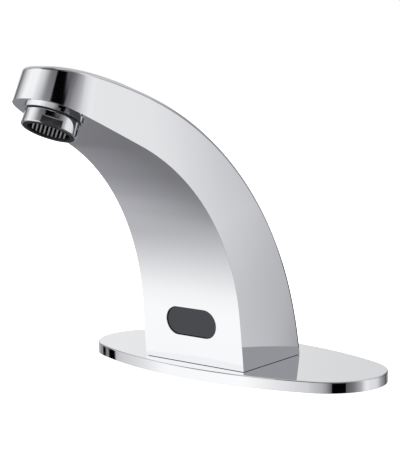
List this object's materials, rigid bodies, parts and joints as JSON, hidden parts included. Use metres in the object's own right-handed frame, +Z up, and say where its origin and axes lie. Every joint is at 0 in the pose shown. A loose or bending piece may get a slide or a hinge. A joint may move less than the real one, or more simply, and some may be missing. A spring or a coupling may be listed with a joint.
{
  "type": "sensor tap",
  "caption": "Deck-mounted sensor tap: a tapered chrome spout arches forward from an oval cover plate, with a dark sensor window low in front and a slotted aerator under the tip.",
  "frame": {"origin": "on the deck surface, on the axis of the threaded shank, which is also the middle of the cover plate", "axes": "+Z up from the deck, -Y forward towards the user and the spout's tip, +X to the right as seen by a person behind the tap, along the cover plate"},
  "size_m": [0.1638, 0.1753, 0.2025],
  "materials": {
    "chrome_body": "polished chrome on the cast body",
    "chrome_plate": "polished chrome on the cover plate",
    "chrome_cup": "polished chrome on the turned cup",
    "brass": "plain machined brass",
    "steel": "plain stainless steel",
    "copper_tube": "drawn copper tube",
    "rubber": "black moulded rubber",
    "dark_window": "dark glossy infrared window",
    "black_plastic": "black moulded plastic",
    "board": "green circuit board",
    "grey_plastic": "grey moulded plastic"
  },
  "bodies": {
    "tap": {"body_shell": "chrome_body", "base_block": "brass", "base_screws": "steel", "base_seal": "rubber", "deck_plate": "chrome_plate", "deck_gasket": "rubber", "shank": "brass", "water_tube": "copper_tube", "tube_seal_lower": "rubber", "tube_seal_upper": "rubber", "sensor_window": "dark_window", "window_seal": "rubber", "sensor_case": "black_plastic", "circuit_board": "board", "ir_emitter": "dark_window", "ir_receiver": "dark_window", "sensor_gland": "rubber", "sensor_bracket": "steel", "bracket_screws": "steel", "cable_grommet": "rubber"},
    "outlet_washer": {"aerator_washer": "rubber"},
    "aerator": {"aerator_housing": "chrome_cup", "aerator_cartridge": "black_plastic", "flow_regulator": "rubber", "aerator_screens": "steel", "aerator_grille": "grey_plastic"},
    "clamp_washers": {"clamp_washer_rubber": "rubber", "clamp_washer_steel": "steel"},
    "nut": {"mounting_nut": "brass"}
  },
  "joints": [
    {"name": "outlet_washer_slide", "type": "slide", "parent": "tap", "child": "outlet_washer", "axis": [0, -0.4226, -0.9063], "range_m": [0, 0.005]},
    {"name": "aerator_turn", "type": "hinge", "parent": "outlet_washer", "child": "aerator", "pos_m": [0, -0.12322, 0.11767], "axis": [0, -0.4226, -0.9063], "range_deg": [0, 1800]},
    {"name": "clamp_slide", "type": "slide", "parent": "tap", "child": "clamp_washers", "axis": [0, 0, -1], "range_m": [-0.016, 0.022]},
    {"name": "nut_turn", "type": "hinge", "parent": "clamp_washers", "child": "nut", "pos_m": [0, 0, -0.029], "axis": [0, 0, -1], "range_deg": [-3840, 5280]}
  ],
  "couplings": [
    {"joint": "outlet_washer_slide", "follows": "aerator_turn", "m_per_rad": 0.00015915},
    {"joint": "clamp_slide", "follows": "nut_turn", "m_per_rad": 0.00023873}
  ]
}
